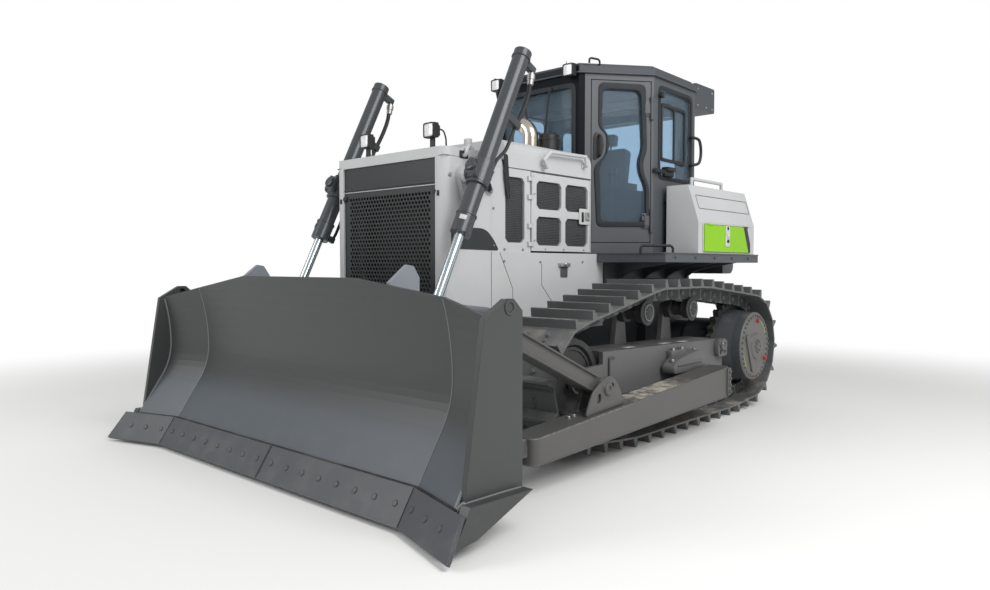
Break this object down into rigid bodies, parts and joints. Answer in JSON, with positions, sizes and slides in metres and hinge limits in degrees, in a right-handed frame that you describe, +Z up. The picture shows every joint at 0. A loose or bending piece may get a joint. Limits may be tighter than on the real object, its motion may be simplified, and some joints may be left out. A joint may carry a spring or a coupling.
{
  "type": "bulldozer",
  "caption": "Tracked bulldozer with a concave semi-U blade on push arms, twin lift cylinders, hinged engine and cab doors, a glazed six-sided cab and single-grouser tracks.",
  "frame": {"origin": "ground under the middle of the machine's length and width", "axes": "+X forward towards the blade, +Y to the machine's left, +Z up"},
  "size_m": [5.4586, 3.808, 3.13],
  "materials": {
    "track_steel": "dull",
    "charcoal_paint": "satin",
    "grey_paint": "satin",
    "black_paint": "satin",
    "lime_paint": "gloss",
    "rod_chrome": "polished",
    "stainless": "polished",
    "cab_glass": "clear",
    "seat_trim": "matte",
    "black_plastic": "matte",
    "lamp_lens": "gloss"
  },
  "bodies": {
    "chassis": {"track_left": "track_steel", "track_right": "track_steel", "sprockets": "track_steel", "idlers": "track_steel", "track_rollers": "track_steel", "carrier_rollers": "track_steel", "track_frames": "charcoal_paint", "final_drives": "charcoal_paint", "main_frame": "charcoal_paint", "belly_guard": "charcoal_paint", "equalizer_bar": "charcoal_paint", "drawbar": "charcoal_paint", "engine": "charcoal_paint", "radiator": "black_paint", "radiator_guard": "grey_paint", "sign_panel": "black_paint", "grille": "black_paint", "hood_top": "grey_paint", "cowl": "grey_paint", "side_panels": "grey_paint", "exhaust": "stainless", "precleaner": "black_plastic", "lamps": "lamp_lens", "fender_deck": "charcoal_paint", "side_boxes": "grey_paint", "fuel_tank": "charcoal_paint", "cab_floor": "charcoal_paint", "cab_front_wall": "charcoal_paint", "cab_left_wall": "charcoal_paint", "cab_right_wall": "charcoal_paint", "cab_rear_wall": "charcoal_paint", "cab_roof": "charcoal_paint", "cab_glass": "cab_glass", "seat": "seat_trim", "consoles": "black_plastic", "handrails": "grey_paint"},
    "blade": {"moldboard": "charcoal_paint", "blade_back": "charcoal_paint", "blade_sides": "charcoal_paint", "cutting_edges": "charcoal_paint", "push_arms": "charcoal_paint", "braces": "charcoal_paint"},
    "lift_barrel_left": {"lift_barrel_left": "charcoal_paint"},
    "lift_barrel_right": {"lift_barrel_right": "charcoal_paint"},
    "lift_rod_left": {"lift_rod_left": "rod_chrome"},
    "lift_rod_right": {"lift_rod_right": "rod_chrome"},
    "cab_door_left": {"cab_door_left": "charcoal_paint", "door_glass_left": "cab_glass"},
    "cab_door_right": {"cab_door_right": "charcoal_paint", "door_glass_right": "cab_glass"},
    "engine_door_left": {"engine_door_left": "grey_paint"},
    "engine_door_right": {"engine_door_right": "grey_paint"},
    "box_door_left": {"box_door_left": "lime_paint"},
    "box_door_right": {"box_door_right": "lime_paint"}
  },
  "joints": [
    {"name": "blade_lift", "type": "hinge", "parent": "chassis", "child": "blade", "pos_m": [-0.85934, 0, 0.41], "axis": [0, -1, 0], "range_deg": [-9, 20]},
    {"name": "lift_swing_left", "type": "hinge", "parent": "chassis", "child": "lift_barrel_left", "pos_m": [1.30066, 0.79, 2.012], "axis": [0, -1, 0], "range_deg": [-9, 17]},
    {"name": "lift_rod_slide_left", "type": "slide", "parent": "lift_barrel_left", "child": "lift_rod_left", "axis": [0.4415, 0, -0.8973], "range_m": [-0.942, 0.43]},
    {"name": "cab_door_swing_left", "type": "hinge", "parent": "chassis", "child": "cab_door_left", "pos_m": [-0.77998, 0.89325, 2.3], "axis": [0, 0, 1], "range_deg": [0, 115]},
    {"name": "engine_door_swing_left", "type": "hinge", "parent": "chassis", "child": "engine_door_left", "pos_m": [0.54266, 0.623, 1.8], "axis": [0, 0, -1], "range_deg": [0, 110]},
    {"name": "box_door_lift_left", "type": "hinge", "parent": "chassis", "child": "box_door_left", "pos_m": [-1.55934, 1.264, 1.745], "axis": [1, 0, 0], "range_deg": [0, 100]},
    {"name": "lift_swing_right", "type": "hinge", "parent": "chassis", "child": "lift_barrel_right", "pos_m": [1.30066, -0.79, 2.012], "axis": [0, -1, 0], "range_deg": [-9, 17]},
    {"name": "lift_rod_slide_right", "type": "slide", "parent": "lift_barrel_right", "child": "lift_rod_right", "axis": [0.4415, 0, -0.8973], "range_m": [-0.942, 0.43]},
    {"name": "cab_door_swing_right", "type": "hinge", "parent": "chassis", "child": "cab_door_right", "pos_m": [-0.77998, -0.89325, 2.3], "axis": [0, 0, -1], "range_deg": [0, 115]},
    {"name": "engine_door_swing_right", "type": "hinge", "parent": "chassis", "child": "engine_door_right", "pos_m": [0.54266, -0.623, 1.8], "axis": [0, 0, 1], "range_deg": [0, 110]},
    {"name": "box_door_lift_right", "type": "hinge", "parent": "chassis", "child": "box_door_right", "pos_m": [-1.55934, -1.264, 1.745], "axis": [-1, 0, 0], "range_deg": [0, 100]}
  ],
  "couplings": [
    {"joint": "lift_swing_left", "follows": "blade_lift", "ratio": 0.7857},
    {"joint": "lift_rod_slide_left", "follows": "blade_lift", "m_per_rad": -2.6708},
    {"joint": "lift_swing_right", "follows": "blade_lift", "ratio": 0.7857},
    {"joint": "lift_rod_slide_right", "follows": "blade_lift", "m_per_rad": -2.6708}
  ]
}
